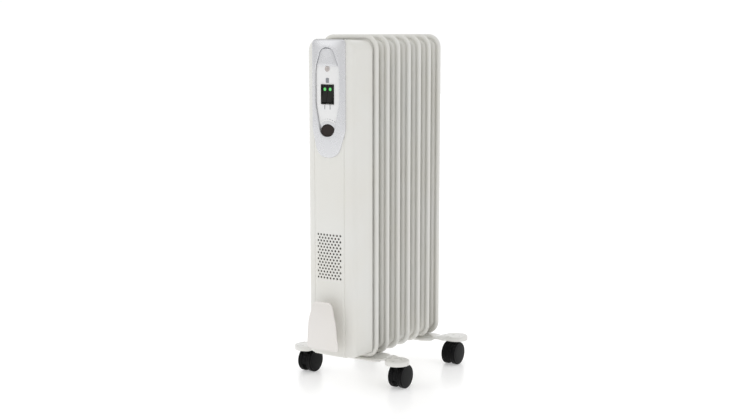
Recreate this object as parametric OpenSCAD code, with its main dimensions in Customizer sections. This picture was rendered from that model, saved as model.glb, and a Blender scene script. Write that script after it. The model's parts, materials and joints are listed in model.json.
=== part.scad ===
// Oil filled radiator heater on casters.
// +Z is up, the floor is z = 0, the fins stack along Y and the controls face -Y.
// The origin is on the floor, under the middle of the whole heater.

/* [Radiator] */
// Height of the fin tops above the floor
total_h = 640; // [600:1:680]
// Height of the fin bottoms above the floor
fin_base = 50; // [50:0.5:51]
// Width of one fin
fin_w = 122; // [118:1:126]
// Distance between neighbouring fins
pitch = 36.3; // [34:0.1:38]
// Radius of a fin's corners
fin_corner = 26; // [22:1:30]
// Sheet thickness of the fins
sheet = 0.8; // [0.6:0.1:1]

/* [Housing] */
// Reach of the front panel's crown ahead of the first fin
crown_reach = 69; // [66:0.5:72]
// Width of the front panel between its two grooves
panel_w = 64; // [60:1:66]
// Half width of the housing at its back edge
side_back = 53.5; // [52:0.5:55]
// Top of the housing
cover_top = 630; // [628:1:634]
// Bottom of the housing
cover_base = 62; // [58:1:62]
// Wall of the housing
wall = 2.2; // [2:0.1:2.6]

/* [Controls] */
// Height of the middle of the rocker switch
switch_z = 535.5; // [533:0.5:538]
// Height of the thermostat dial's axis
dial_z = 466; // [464:0.5:468]
// Radius of the thermostat dial
dial_r = 16.5; // [15.5:0.1:16.5]
// Swing of one rocker between off and on, in degrees
rocker_swing = 16; // [14:1:18]

/* [Vent and cord winder] */
// Rows of vent holes
vent_rows = 15; // [9:2:15]
// Radius of one vent hole
vent_r = 2.05; // [1.8:0.05:2.1]
// Gap between the front panel and the winder plate
winder_gap = 20; // [18:0.5:22]
// Height of the winder plate
winder_h = 89; // [84:1:92]
// Radius of the bore that the supply cord comes in through
cord_r = 3.7; // [3.3:0.1:4]

/* [Feet and casters] */
// Distance of a caster's swivel axis from the middle plane
caster_x = 102; // [98:1:104]
// Radius of a foot's round end
bulb_r = 22.5; // [21:0.5:24]
// Radius of a caster wheel
wheel_r = 22; // [21:0.5:22]
// Distance of the wheel axle from the swivel axis
trail = 12; // [10:0.5:13]

/* [Hidden] */
$fn = 64;
fine = 0.05;   // running clearance on a radius
slack = 0.3;   // gap between neighbours that do not fit into each other
over = 1;      // how far a cutting solid passes a face
big_fn = 720;   // segments of the wide, shallow curves

// Radiator
fin_count = 7;
last_y = (fin_count - 1) * pitch;
rim_r = 4.5;
ridge_r = 6;
ridge_in = 15;
pad_t = 6.4;
web_t = 3;
header_r = 19;
header_bore = 17.5;
header_low = fin_base + 45;
header_high = total_h - 45;
nose_low = -14;      // front face of the lower header on the first fin
nose_high = -6.2;    // front face of the upper header on the first fin
tail = 9;            // reach of the last fin's headers behind its middle
cap_t = 1.4;
plug_r = 5;

// Where the heater starts and ends along Y, measured from the first fin
plate_t = 2.8;
winder_face = -crown_reach - winder_gap - plate_t - 0.7;
rear_end = last_y + bulb_r;
shift_y = -(rear_end + winder_face) / 2;

// Housing section
crown_rise = 3;
groove_x = panel_w / 2;
crown_rad = (groove_x * groove_x + crown_rise * crown_rise) / (2 * crown_rise);
crown_mid = crown_rad - crown_reach;
cover_back = -8;
plate_back = -8;
back_t = 1.2;
shoulder = [50.6, -59.5];
shoulder_r = 11;
bezel_t = 3.6;
face_t = 1.2;

// Control panel outlines in the X-Z plane
bezel_top = cover_top + 1.4;
oval_top = 617.5;
oval_low = 461;
crest_low = 585.6;
lamp_z = 580;
lamp_r = 4.8;
switch_w = 27;
switch_h = 35;
body_w = 25;
body_h = 33;
rocker_w = 10.8;
rocker_gap = 0.3;
pin_y = -65.4;
pin_r = 1.25;
lens_r = 3;
lens_up = 9;
shaft_r = 3;

// Element
leg_r = 3.25;
leg_x = 6;
leg_z = 6;
flange_r = 19;

// Vent pattern
vent_dx = 6.9;
vent_dz = 5.6;
vent_mid = 245;

// Winder
winder_low = 77;
winder_mid = winder_low + winder_h / 2;
stem_w = 24;
stem_h = 46;
winder_bow = 387;

// Feet and casters
foot_top = fin_base - 0.3;
bulb_top = 54;
skirt = 46;
foot_wall = 2.2;
foot_y = pitch / 2;
bolt_r = 2.5;
bolt_x = header_r + bolt_r + slack;
stem_r = 3.5;
stem_base = 17;
stem_top = 50.5;
hood_w = 9;
wheel_in = 4.8;
wheel_out = 15;
axle_r = 2;

// ---------------------------------------------------------------- helpers

function unit(v) = v / norm(v);
function turn(pts, i) = let (n = len(pts)) [pts[(i + n - 1) % n], pts[i], pts[(i + 1) % n]];
function half_angle(t) = acos(unit(t[0] - t[1]) * unit(t[2] - t[1])) / 2;
function arc_mid(t, r) =
    t[1] + unit(unit(t[0] - t[1]) + unit(t[2] - t[1])) * r / sin(half_angle(t));
function arc_from(t, r) = t[1] + unit(t[0] - t[1]) * r / tan(half_angle(t));
function arc_to(t, r) = t[1] + unit(t[2] - t[1]) * r / tan(half_angle(t));

// Points along the arc that rounds a corner
function arc_points(t, r, steps) = let (
    c = arc_mid(t, r),
    from = arc_from(t, r) - c,
    sweep = 180 - 2 * half_angle(t),
    way = cross(unit(t[1] - t[0]), unit(t[2] - t[1])) > 0 ? 1 : -1
) [for (k = [0 : steps]) let (a = way * sweep * k / steps)
    c + [from[0] * cos(a) - from[1] * sin(a), from[0] * sin(a) + from[1] * cos(a)]];

// Convex outline: tight corners are true arcs, and bends wider than flat are short chords
module rounded(pts, radii, flat = 30) {
    n = len(pts);
    polygon([for (i = [0 : n - 1]) each
        arc_points(turn(pts, i), radii[i], radii[i] > flat ? 6 : 1)]);
    for (i = [0 : n - 1]) if (radii[i] <= flat)
        translate(arc_mid(turn(pts, i), radii[i])) circle(radii[i]);
}

// The same outline, given as its right half from bottom to top
function mirrored(half) = concat(half, [for (i = [len(half) - 1 : -1 : 0]) [-half[i][0], half[i][1]]]);
function doubled(list) = concat(list, [for (i = [len(list) - 1 : -1 : 0]) list[i]]);
module twin_outline(half, radii, flat = 30) rounded(mirrored(half), doubled(radii), flat);

module round_rect(w, h, r)
    rounded([[-w / 2, -h / 2], [w / 2, -h / 2], [w / 2, h / 2], [-w / 2, h / 2]], [r, r, r, r]);

// Moves the first fin's plane to its place in the heater's frame
module placed() translate([0, shift_y, 0]) children();

// Extrudes an X-Z outline along Y, from y0 to y1
module along_y(y0, y1) translate([0, y1, 0]) rotate([90, 0, 0]) linear_extrude(y1 - y0) children();

// Extrudes a Y-Z outline along X, from x0 to x1
module along_x(x0, x1)
    translate([x0, 0, 0]) rotate([90, 0, 90]) linear_extrude(x1 - x0) children();

module rod_y(x, z, y0, y1, r) translate([x, y1, z]) rotate([90, 0, 0]) cylinder(h = y1 - y0, r = r);
module rod_x(y, z, x0, x1, r) translate([x0, y, z]) rotate([0, 90, 0]) cylinder(h = x1 - x0, r = r);

// ---------------------------------------------------------------- radiator

// Round bar bent into the fin's rounded rectangle, inset from its outer edge
module ring_bar(inset, r) {
    w = fin_w / 2 - inset;
    low = fin_base + inset;
    high = total_h - inset;
    bend = max(fin_corner - inset, r + 1);
    for (s = [-1, 1]) translate([s * w, 0, low + bend]) cylinder(h = high - low - 2 * bend, r = r);
    for (z = [low, high]) rod_x(0, z, -w + bend, w - bend, r);
    for (c = [[1, 1, 0], [-1, 1, 90], [-1, -1, 180], [1, -1, 270]])
        translate([c[0] * (w - bend), 0, c[1] > 0 ? high - bend : low + bend])
            rotate([90, 0, 0]) rotate([0, 0, c[2]])
                rotate_extrude(angle = 90) translate([bend, 0]) circle(r);
}

module fin_sheet(inset, t) {
    along_y(-t / 2, t / 2) translate([0, (fin_base + total_h) / 2])
        round_rect(fin_w - 2 * inset, total_h - fin_base - 2 * inset, max(fin_corner - inset, 8));
}

function front_reach(i, z) = i > 1 ? -pitch / 2 : (z < 300 ? nose_low : nose_high);
function back_reach(i) = i < fin_count ? pitch / 2 : tail;

// Two pressed sheets welded round the rim, with an oil channel behind the ridge
module fin(i) {
    color("gainsboro") placed() translate([0, (i - 1) * pitch, 0]) difference() {
        union() {
            ring_bar(rim_r, rim_r);
            ring_bar(ridge_in, ridge_r);
            fin_sheet(rim_r, web_t);
            fin_sheet(ridge_in, pad_t);
            for (z = [header_low, header_high]) rod_y(0, z, front_reach(i, z), back_reach(i), header_r);
        }
        ring_bar(rim_r, rim_r - sheet);
        ring_bar(ridge_in, ridge_r - sheet);
        fin_sheet(rim_r, web_t - 2 * sheet);
        fin_sheet(ridge_in, pad_t - 2 * sheet);
        for (z = [header_low, header_high])
            rod_y(0, z, front_reach(i, z) - over, back_reach(i) + over, header_bore);
    }
}

module header_caps() {
    color("gainsboro") placed() {
        rod_y(0, header_high, nose_high - cap_t, nose_high, header_r);
        rod_y(0, header_low, last_y + tail, last_y + tail + cap_t, header_r);
        difference() {
            rod_y(0, header_high, last_y + tail, last_y + tail + cap_t, header_r);
            rod_y(0, header_high, last_y, last_y + 2 * tail, plug_r + fine);
        }
    }
}

module oil_filler_plug() {
    seat = last_y + tail + cap_t;
    color("silver") placed() {
        rod_y(0, header_high, seat - 6, seat, plug_r);
        translate([0, seat + 4.5, header_high]) rotate([90, 0, 0]) cylinder(h = 4.5, r = 8, $fn = 6);
    }
}

// ---------------------------------------------------------------- heating element

module at_legs() for (x = [-leg_x, leg_x], z = [-leg_z, leg_z]) translate([x, 0, header_low + z]) children();

module element_flange() {
    color("darkkhaki") placed() difference() {
        union() {
            rod_y(0, header_low, nose_low - 1, 0, header_bore - 0.5);
            rod_y(0, header_low, nose_low - 5, nose_low - 1, flange_r);
            translate([0, nose_low - 5, header_low]) rotate([90, 0, 0]) cylinder(h = 6, r = 15, $fn = 6);
        }
        at_legs() rod_y(0, 0, nose_low - 20, 20, leg_r + fine);
    }
}

module element_gasket() {
    color("dimgray") placed() difference() {
        rod_y(0, header_low, nose_low - 1, nose_low, flange_r);
        rod_y(0, header_low, nose_low - 2, nose_low + 1, header_bore - 0.4);
    }
}

// Two sheathed rods, each bent back on itself at the far end
module element_tubes() {
    front = nose_low - 16;
    back = last_y - 20;
    color("slategray") placed() for (z = [-leg_z, leg_z]) translate([0, 0, header_low + z]) {
        for (x = [-leg_x, leg_x]) rod_y(x, 0, front, back, leg_r);
        translate([0, back, 0]) rotate_extrude(angle = 180) translate([leg_x, 0]) circle(leg_r);
    }
}

module element_terminals() {
    color("ivory") placed() at_legs() {
        difference() {
            rod_y(0, 0, nose_low - 15.5, nose_low - 11.5, 4.6);
            rod_y(0, 0, nose_low - 17, nose_low - 10, leg_r + fine);
        }
        translate([-3.15, nose_low - 24, -0.4]) cube([6.3, 7.9, 0.8]);
    }
}

// ---------------------------------------------------------------- housing

// Plan outline of the housing, shrunk by t
module cover_plan(t) {
    half = [[side_back - t, cover_back + over], [shoulder[0] - t, shoulder[1] + t * 0.9],
            [groove_x - t * 0.3, -crown_reach + crown_rise + t]];
    r = shoulder_r - t;
    turn3 = [half[0], half[1], half[2]];
    difference() {
        union() {
            for (s = [0, 1]) mirror([s, 0]) {
                polygon([[0, cover_back + over], half[0], arc_from(turn3, r), arc_to(turn3, r),
                         half[2], [0, half[2][1]]]);
                translate(arc_mid(turn3, r)) circle(r);
            }
            intersection() {
                translate([0, crown_mid]) circle(crown_rad - t, $fn = big_fn);
                translate([-half[2][0], -crown_reach]) square([2 * half[2][0], 12]);
            }
        }
        translate([-100, cover_back]) square([200, 20]);
    }
}

// Front outline of the housing, shrunk by t
module cover_front(t) {
    h = cover_top - cover_base - 2 * t;
    translate([0, cover_base + t]) rounded(
        [[-side_back - 1 + t, 0], [side_back + 1 - t, 0], [side_back + 1 - t, h], [-side_back - 1 + t, h]],
        [7, 7, 20 - t, 20 - t]);
}

module cover_block(t) intersection() {
    translate([0, 0, cover_base]) linear_extrude(cover_top - cover_base) cover_plan(t);
    along_y(-crown_reach - over, cover_back + (t > 0 ? over : 0)) cover_front(t);
}

function vent_cols(row) = row % 2 == 0 ? 8 : 7;

module vent_holes() {
    for (row = [0 : vent_rows - 1], col = [0 : vent_cols(row) - 1])
        rod_y((col - (vent_cols(row) - 1) / 2) * vent_dx, vent_mid + (row - (vent_rows - 1) / 2) * vent_dz,
              -crown_reach - over, -crown_reach + 8, vent_r);
}

// Places of the screws that hold the housing to the back plate
module at_cover_screws() for (x = [-34, 34], z = [130, 345, 585]) translate([x, 0, z]) children();

module front_cover() {
    color("whitesmoke") placed() difference() {
        union() {
            difference() {
                cover_block(0);
                cover_block(wall);
            }
            at_cover_screws() rod_y(0, 0, -63.8, plate_back - back_t - 0.05, 3.6);
        }
        for (s = [-1, 1]) translate([s * groove_x - 0.6, -crown_reach + 2, cover_base - over])
            cube([1.2, 1.8, cover_top - cover_base + 2 * over]);
        vent_holes();
        at_cover_screws() rod_y(0, 0, -32, 0, 1.5);
        along_y(-crown_reach - over, -60) translate([0, switch_z]) square([body_w + 0.4, body_h + 0.4], center = true);
        rod_y(0, dial_z, -crown_reach - over, -60, dial_r + 0.7);
        rod_y(0, lamp_z, -crown_reach - over, -60, 3.3);
        for (z = [winder_mid - 13, winder_mid + 13]) rod_y(0, z, -crown_reach - over, -60, 1.8);
        translate([0, -38, cover_base - over]) cylinder(h = wall + 2 * over, r = 7);
        for (x = [-34, -26, 26, 34]) translate([x - 1.5, -50, cover_base - over]) cube([3, 30, 4]);
    }
}

module back_plate() {
    color("lightgray") placed() difference() {
        along_y(plate_back - back_t, plate_back)
            translate([0, (cover_base + cover_top) / 2])
                round_rect(2 * (side_back - wall) - 1, cover_top - cover_base - 2 * wall - 1, 16);
        rod_y(0, header_low, -20, 0, header_r + 0.5);
        at_cover_screws() rod_y(0, 0, -20, 0, 1.8);
    }
}

module cover_screws() {
    color("silver") placed() at_cover_screws() {
        rod_y(0, 0, -26, plate_back, 1.4);
        rod_y(0, 0, plate_back, plate_back + 2, 3.2);
    }
}

// ---------------------------------------------------------------- controls

module bezel_outline() twin_outline(
    [[21, 423.5], [35.6, 472], [35.6, bezel_top]], [24, 60, 8], 0);

module oval_outline(t) twin_outline(
    [[13 - t, oval_low + t], [25.6 - t, 518], [25.6 - t, 580], [12 - t * 0.7, oval_top - t]],
    [14, 90, 60, 16 - t], 0);

// Everything in front of the crowned panel, out to a distance d
module crown_skin(d, base) difference() {
    translate([0, crown_mid, base]) cylinder(h = 300, r = crown_rad + d, $fn = big_fn);
    translate([0, crown_mid, base - over]) cylinder(h = 302, r = crown_rad + fine, $fn = big_fn);
}

module control_bezel() {
    color("silver") placed() difference() {
        intersection() {
            difference() {
                translate([0, crown_mid, 400]) cylinder(h = 260, r = crown_rad + bezel_t, $fn = big_fn);
                translate([0, crown_mid, 400 - over])
                    cylinder(h = cover_top + 0.1 - 400 + over, r = crown_rad + fine, $fn = big_fn);
            }
            along_y(-crown_reach - 6, -42) bezel_outline();
        }
        along_y(-crown_reach - 8, -58) oval_outline(0);
        rod_y(0, dial_z, -crown_reach - 1.9, -60, dial_r + 0.7);
    }
}

module control_plate() {
    color("white") placed() difference() {
        intersection() {
            crown_skin(face_t, 400);
            along_y(-crown_reach - 6, -60) oval_outline(0.15);
        }
        along_y(-crown_reach - 8, -60) translate([0, switch_z]) square([switch_w + 0.3, switch_h + 0.3], center = true);
        rod_y(0, dial_z, -crown_reach - 8, -60, dial_r + 6.2);
        rod_y(0, lamp_z, -crown_reach - 8, -60, 3.3);
    }
}

// Crescent round the upper half of the dial
module dial_surround() {
    color("silver") placed() difference() {
        intersection() {
            crown_skin(face_t, 400);
            rod_y(0, dial_z, -crown_reach - 6, -60, dial_r + 6);
            along_y(-crown_reach - 6, -60) oval_outline(0.15);
        }
        rod_y(0, dial_z, -crown_reach - 8, -60, dial_r + 0.7);
    }
}

module crest_cap() {
    color("silver") placed() difference() {
        intersection() {
            translate([0, crown_mid, crest_low]) cylinder(h = 60, r = crown_rad + 4.2, $fn = big_fn);
            along_y(-crown_reach - 6, -60) oval_outline(0.15);
        }
        translate([0, crown_mid, crest_low - over]) cylinder(h = 80, r = crown_rad + face_t + fine, $fn = big_fn);
    }
}

module lamp_lens() {
    color("mistyrose") placed() {
        rod_y(0, lamp_z, -crown_reach - 2.8, -crown_reach - face_t - fine, lamp_r);
        rod_y(0, lamp_z, -crown_reach - face_t - fine, -63, 3.1);
    }
}

module lamp_holder() {
    color("dimgray") placed() rod_y(0, lamp_z, -62.9, -48, 4);
}

module switch_body() {
    color("black") placed() difference() {
        union() {
            along_y(-crown_reach - 2.4, -crown_reach - fine) translate([0, switch_z])
                round_rect(switch_w, switch_h, 1);
            along_y(-crown_reach - 1, -46) translate([0, switch_z]) square([body_w, body_h], center = true);
            for (x = [-6, 6], z = [-9, 9])
                translate([x - 0.4, -46.5, switch_z + z - 3.15]) cube([0.8, 8.5, 6.3]);
        }
        along_y(-crown_reach - 8, -54) translate([0, switch_z]) square([2 * rocker_w + 1.4, 34.4], center = true);
        along_y(-crown_reach, -54) translate([0, switch_z]) square([2 * rocker_w + 1.4, 32], center = true);
        rod_x(pin_y, switch_z, -20, 20, pin_r + fine);
    }
}

module rocker_pin() {
    color("silver") placed() rod_x(pin_y, switch_z, -12.2, 12.2, pin_r);
}

// Side view of a rocker at rest, with its upper half pressed in
module rocker_side() {
    reach = 15.6;
    face = 4.8;
    steep = 2 * rocker_swing;
    difference() {
        polygon([
            [-face, reach], [-face, 0.7],
            [-(reach + 1) * sin(steep), -(reach + 1) * cos(steep)],
            [-1, -14.6], [5, -9], [5, 9], [0, 14.6]]);
        circle(pin_r + fine);
    }
}

module rocker(s) {
    mid = s * (rocker_w / 2 + rocker_gap);
    color("black") placed() difference() {
        translate([0, pin_y, switch_z]) along_x(mid - rocker_w / 2, mid + rocker_w / 2) rocker_side();
        rod_y(mid, switch_z + lens_up, pin_y - 8, pin_y - 2.8, lens_r + fine);
    }
}

module rocker_lens(s) {
    mid = s * (rocker_w / 2 + rocker_gap);
    color("limegreen") placed() rod_y(mid, switch_z + lens_up, pin_y - 5.1, pin_y - 2.9, lens_r);
}

module thermostat_body() {
    color("peru") placed() difference() {
        union() {
            along_y(-56, -40) translate([0, dial_z]) round_rect(34, 32, 3);
            rod_y(0, dial_z, -60, -55, 5.5);
            for (x = [-10, 10]) translate([x - 3.15, -41, dial_z - 6]) cube([6.3, 8, 0.8]);
        }
        rod_y(0, dial_z, -61, -44, shaft_r + fine);
    }
}

module thermostat_shaft() {
    color("silver") placed() rod_y(0, dial_z, -68, -46, shaft_r);
}

module thermostat_dial() {
    rim_y = -crown_reach + 0.2;
    color("black") placed() difference() {
        union() {
            rod_y(0, dial_z, rim_y, -64.5, dial_r);
            translate([0, rim_y, dial_z]) rotate([90, 0, 0]) cylinder(h = 1.5, r1 = dial_r, r2 = dial_r - 3);
            rod_y(0, dial_z, -64.5, -60.5, 6.5);
        }
        rod_y(0, dial_z, -68.3, -50, shaft_r + fine);
        for (a = [0 : 10 : 350]) translate([0, 0, dial_z]) rotate([0, a, 0])
            rod_y(dial_r + 0.6, 0, -80, -50, 1);
    }
}

// ---------------------------------------------------------------- wiring

module thermal_cutout() {
    color("tan") placed() {
        rod_y(0, 170, -19, plate_back - back_t - fine, 8);
        for (x = [-5, 5]) translate([x - 0.4, -26, 167]) cube([0.8, 7, 6.3]);
    }
}

module terminal_block() {
    color("ivory") placed() difference() {
        translate([-18, -25, 205]) cube([36, 15.75, 22]);
        for (x = [-12, 0, 12], z = [204, 228]) translate([x, -18, z]) cylinder(h = 16, r = 2.2, center = true);
    }
}

// Rod between two points
module strand(a, b, r) {
    v = b - a;
    translate(a) rotate([0, acos(v[2] / norm(v)), atan2(v[1], v[0])]) cylinder(h = norm(v), r = r);
}

module wire(route, r) {
    for (i = [0 : len(route) - 2]) strand(route[i], route[i + 1], r);
    for (i = [1 : len(route) - 2]) translate(route[i]) sphere(1.2 * r);
}

// Insulated leads, each along its own route inside the housing
live_route = [[-12, -18, 222], [-12, -18, 240], [-20, -30, 300], [-20, -34, 500], [-8, -34, 526.5]];
feed_route = [[12, -18, 222], [12, -18, 240], [20, -30, 300], [20, -34, 400], [13, -28, 459]];
low_route = [[-8, -34, 544.5], [-26, -28, 520], [-26, -28, 200], [-12, -40, 130], [-6, -40, 102]];
high_route = [[8, -34, 544.5], [26, -28, 520], [26, -28, 200], [12, -40, 130], [6, -40, 102]];

module wiring_loom() {
    color("firebrick") placed()
        for (route = [live_route, feed_route, low_route, high_route]) wire(route, 1.3);
}

module cable_gland() {
    color("black") placed() translate([0, -38, 0]) difference() {
        union() {
            translate([0, 0, cover_base - 4]) cylinder(h = 4, r = 9.5);
            translate([0, 0, cover_base - 1]) cylinder(h = 14, r = 6.9);
            translate([0, 0, cover_base + wall + 0.1]) cylinder(h = 4, r = 10, $fn = 6);
        }
        translate([0, 0, cover_base - 6]) cylinder(h = 24, r = cord_r);
    }
}

// ---------------------------------------------------------------- cord winder

module winder_outline() twin_outline(
    [[34.6, winder_low], [29.8, winder_low + 0.6 * winder_h], [19.8, winder_low + winder_h]],
    [7, 90, 11], 0);

module winder_plate() {
    face = winder_face;
    color("silver") placed() intersection() {
        along_y(face - over, face + 12) winder_outline();
        difference() {
            rod_x(face + winder_bow, winder_mid, -50, 50, winder_bow, $fn = big_fn);
            rod_x(face + winder_bow, winder_mid, -51, 51, winder_bow - plate_t, $fn = big_fn);
        }
    }
}

module winder_stem() {
    back = -crown_reach - fine;
    front = winder_face + plate_t + 0.75;
    color("silver") placed() difference() {
        union() {
            difference() {
                along_y(front, back) translate([0, winder_mid]) round_rect(stem_w, stem_h, 8);
                along_y(front + 2, back + over) translate([0, winder_mid]) round_rect(stem_w - 4, stem_h - 4, 6);
            }
            for (z = [-13, 13]) rod_y(0, winder_mid + z, front + 1, back, 3.6);
        }
        for (z = [-13, 13]) rod_y(0, winder_mid + z, front + 4, back + over, 1.5);
    }
}

module winder_screws() {
    color("silver") placed() for (z = [-13, 13]) {
        rod_y(0, winder_mid + z, -crown_reach - 12, -66.7, 1.4);
        rod_y(0, winder_mid + z, -66.7, -64.7, 3.2);
    }
}

// ---------------------------------------------------------------- feet

// Plan outline of the front foot, with its round ends ahead of its middle
module foot_plan(t) {
    for (s = [0, 1]) mirror([s, 0]) {
        translate([caster_x, 0]) circle(bulb_r - t);
        polygon([[0, -9 + t], [50 - t, -9 + t], [66, -1 + t], [80, 2.5 + t], [caster_x, 2.5 + t],
                 [caster_x + 6, bulb_r - 1.5 - t], [84, 30 - t], [70, 35 - t], [52 - t, 45 - t], [0, 45 - t]]);
    }
}

// Front view of a foot: low under the fins, higher over the casters
module foot_side(drop) {
    for (s = [0, 1]) mirror([s, 0])
        polygon([[0, skirt - drop], [130, skirt - drop], [130, bulb_top - drop], [80, bulb_top - drop],
                 [64, foot_top - drop], [0, foot_top - drop]]);
}

module foot_block(t, drop) intersection() {
    translate([0, 0, skirt - over]) linear_extrude(bulb_top) foot_plan(t);
    along_y(-40, 60) foot_side(drop);
}

module foot_shell() difference() {
    union() {
        difference() {
            foot_block(0, 0);
            foot_block(foot_wall, 2.4);
        }
        for (s = [-1, 1]) {
            translate([s * caster_x, 0, skirt]) cylinder(h = 7, r = 8);
            translate([s * bolt_x, foot_y, skirt]) cylinder(h = 4, r = 7);
        }
    }
    for (s = [-1, 1]) {
        translate([s * caster_x, 0, skirt - over]) cylinder(h = stem_top - skirt + over + 0.1, r = stem_r + 0.02);
        translate([s * bolt_x, foot_y, skirt - over]) cylinder(h = 12, r = bolt_r + 0.3);
    }
}

module foot_front() color("whitesmoke") placed() foot_shell();
module foot_rear() color("whitesmoke") placed() translate([0, last_y, 0]) mirror([0, 1, 0]) foot_shell();

// U-shaped bolts over the lower header, one for each foot
module hook_bolts() {
    color("silver") placed() for (y = [foot_y, last_y - foot_y]) translate([0, y, header_low]) {
        rotate([90, 0, 0]) rotate_extrude(angle = 180) translate([bolt_x, 0]) circle(bolt_r);
        for (s = [-1, 1]) translate([s * bolt_x, 0, 37 - header_low]) cylinder(h = header_low - 37, r = bolt_r);
    }
}

module wing_nuts() {
    color("silver") placed() for (y = [foot_y, last_y - foot_y], s = [-1, 1]) translate([s * bolt_x, y, 0])
        difference() {
            union() {
                translate([0, 0, skirt - 4.6]) cylinder(h = 4.5, r = 5);
                translate([-10, -0.9, skirt - 7]) cube([20, 1.8, 6]);
            }
            translate([0, 0, skirt - 10]) cylinder(h = 12, r = bolt_r + fine);
        }
}

// ---------------------------------------------------------------- casters

module at_caster(side, end) translate([side * caster_x, end < 0 ? 0 : last_y, 0])
    mirror([0, end < 0 ? 0 : 1, 0]) children();

module caster_stems() {
    color("silver") placed() for (side = [-1, 1], end = [-1, 1]) at_caster(side, end)
        translate([0, 0, stem_base + 0.5]) cylinder(h = stem_top - stem_base - 0.5, r = stem_r);
}

module caster_hood(side, end) {
    color("black") placed() at_caster(side, end) difference() {
        union() {
            along_x(-hood_w / 2, hood_w / 2) difference() {
                union() {
                    translate([trail, wheel_r]) circle(wheel_r - 0.9);
                    polygon([[-4.5, 16], [10, 16], [10, 42.5], [-4.5, 42.5]]);
                }
                polygon([[-20, -5], [60, -5], [60, 9], [18, 9], [8, 14], [-20, 18]]);
            }
            translate([0, 0, 42]) cylinder(h = skirt - slack - 42, r = 7);
        }
        translate([0, 0, stem_base]) cylinder(h = 40, r = stem_r + fine);
        rod_x(trail, wheel_r, -20, 20, axle_r + 0.02);
    }
}

module caster_axle(side, end) {
    color("silver") placed() at_caster(side, end) rod_x(trail, wheel_r, -12.2, 12.2, axle_r);
}

// Wheel section: x runs out from the axle, y runs from the inner face to the outer face
module wheel_section() {
    depth = wheel_out - wheel_in;
    difference() {
        union() {
            polygon([[0, 0], [wheel_r - 1.6, 0], [wheel_r, 1.6], [wheel_r, depth - 3],
                     [wheel_r - 3, depth - 0.6], [wheel_r - 6, depth], [0, depth]]);
            translate([wheel_r - 3, depth - 3]) circle(3);
        }
        translate([8, -over]) square([8, 4]);
        translate([-over, -over]) square([over + axle_r + fine, 8.7]);
    }
}

module wheel(side, end, face) {
    color("black") placed() at_caster(side, end) translate([face * wheel_in, trail, wheel_r])
        rotate([0, face * 90, 0]) rotate_extrude() wheel_section();
}

fin(1);  // fin_1
fin(2);  // fin_2
fin(3);  // fin_3
fin(4);  // fin_4
fin(5);  // fin_5
fin(6);  // fin_6
fin(7);  // fin_7
header_caps();
oil_filler_plug();
element_flange();
element_gasket();
element_tubes();
element_terminals();
back_plate();
front_cover();
cover_screws();
control_bezel();
control_plate();
crest_cap();
lamp_lens();
lamp_holder();
dial_surround();
switch_body();
rocker_pin();
rocker(-1);  // rocker_left
rocker(1);  // rocker_right
rocker_lens(-1);  // rocker_lens_left
rocker_lens(1);  // rocker_lens_right
thermostat_body();
thermostat_shaft();
thermostat_dial();
thermal_cutout();
terminal_block();
wiring_loom();
cable_gland();
winder_stem();
winder_plate();
winder_screws();
foot_front();
foot_rear();
hook_bolts();
wing_nuts();
caster_stems();
caster_hood(-1, -1);  // caster_hood_fl
caster_hood(1, -1);  // caster_hood_fr
caster_hood(-1, 1);  // caster_hood_rl
caster_hood(1, 1);  // caster_hood_rr
caster_axle(-1, -1);  // caster_axle_fl
caster_axle(1, -1);  // caster_axle_fr
caster_axle(-1, 1);  // caster_axle_rl
caster_axle(1, 1);  // caster_axle_rr
wheel(-1, -1, -1);  // wheel_fl_a
wheel(-1, -1, 1);  // wheel_fl_b
wheel(1, -1, -1);  // wheel_fr_a
wheel(1, -1, 1);  // wheel_fr_b
wheel(-1, 1, -1);  // wheel_rl_a
wheel(-1, 1, 1);  // wheel_rl_b
wheel(1, 1, -1);  // wheel_rr_a
wheel(1, 1, 1);  // wheel_rr_b
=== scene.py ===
"""Looks of an oil filled radiator heater: pressed fins, crowned housing, silver controls, twin casters."""

import json
import math

import bmesh
import bpy
from mathutils import Euler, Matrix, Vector


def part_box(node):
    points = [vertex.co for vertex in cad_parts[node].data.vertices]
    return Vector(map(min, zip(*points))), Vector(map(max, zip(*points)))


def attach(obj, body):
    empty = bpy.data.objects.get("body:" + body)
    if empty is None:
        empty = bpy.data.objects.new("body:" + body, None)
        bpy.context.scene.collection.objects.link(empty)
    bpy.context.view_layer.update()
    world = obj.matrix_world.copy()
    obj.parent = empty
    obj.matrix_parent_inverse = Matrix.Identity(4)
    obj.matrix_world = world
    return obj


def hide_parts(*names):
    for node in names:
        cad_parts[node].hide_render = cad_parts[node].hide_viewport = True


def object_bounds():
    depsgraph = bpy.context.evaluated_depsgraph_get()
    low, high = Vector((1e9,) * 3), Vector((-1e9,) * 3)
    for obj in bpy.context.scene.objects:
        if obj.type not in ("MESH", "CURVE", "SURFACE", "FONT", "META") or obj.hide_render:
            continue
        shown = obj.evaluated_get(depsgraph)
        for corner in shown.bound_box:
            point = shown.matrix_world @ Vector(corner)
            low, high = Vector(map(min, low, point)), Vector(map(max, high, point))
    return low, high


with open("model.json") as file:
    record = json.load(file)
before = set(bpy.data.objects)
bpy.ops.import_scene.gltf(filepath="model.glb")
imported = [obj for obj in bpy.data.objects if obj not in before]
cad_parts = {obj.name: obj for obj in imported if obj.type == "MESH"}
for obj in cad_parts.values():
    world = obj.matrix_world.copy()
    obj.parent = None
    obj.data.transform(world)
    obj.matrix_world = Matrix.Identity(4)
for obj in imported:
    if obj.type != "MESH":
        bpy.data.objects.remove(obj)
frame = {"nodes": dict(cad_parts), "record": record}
CAD_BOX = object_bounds()
SLOT_OF = {row["node"]: row["material_slot"] for row in frame["record"]["subparts"]}
BASE = {row["slot"]: row["base_color"] for row in frame["record"]["materials"]}

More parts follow.
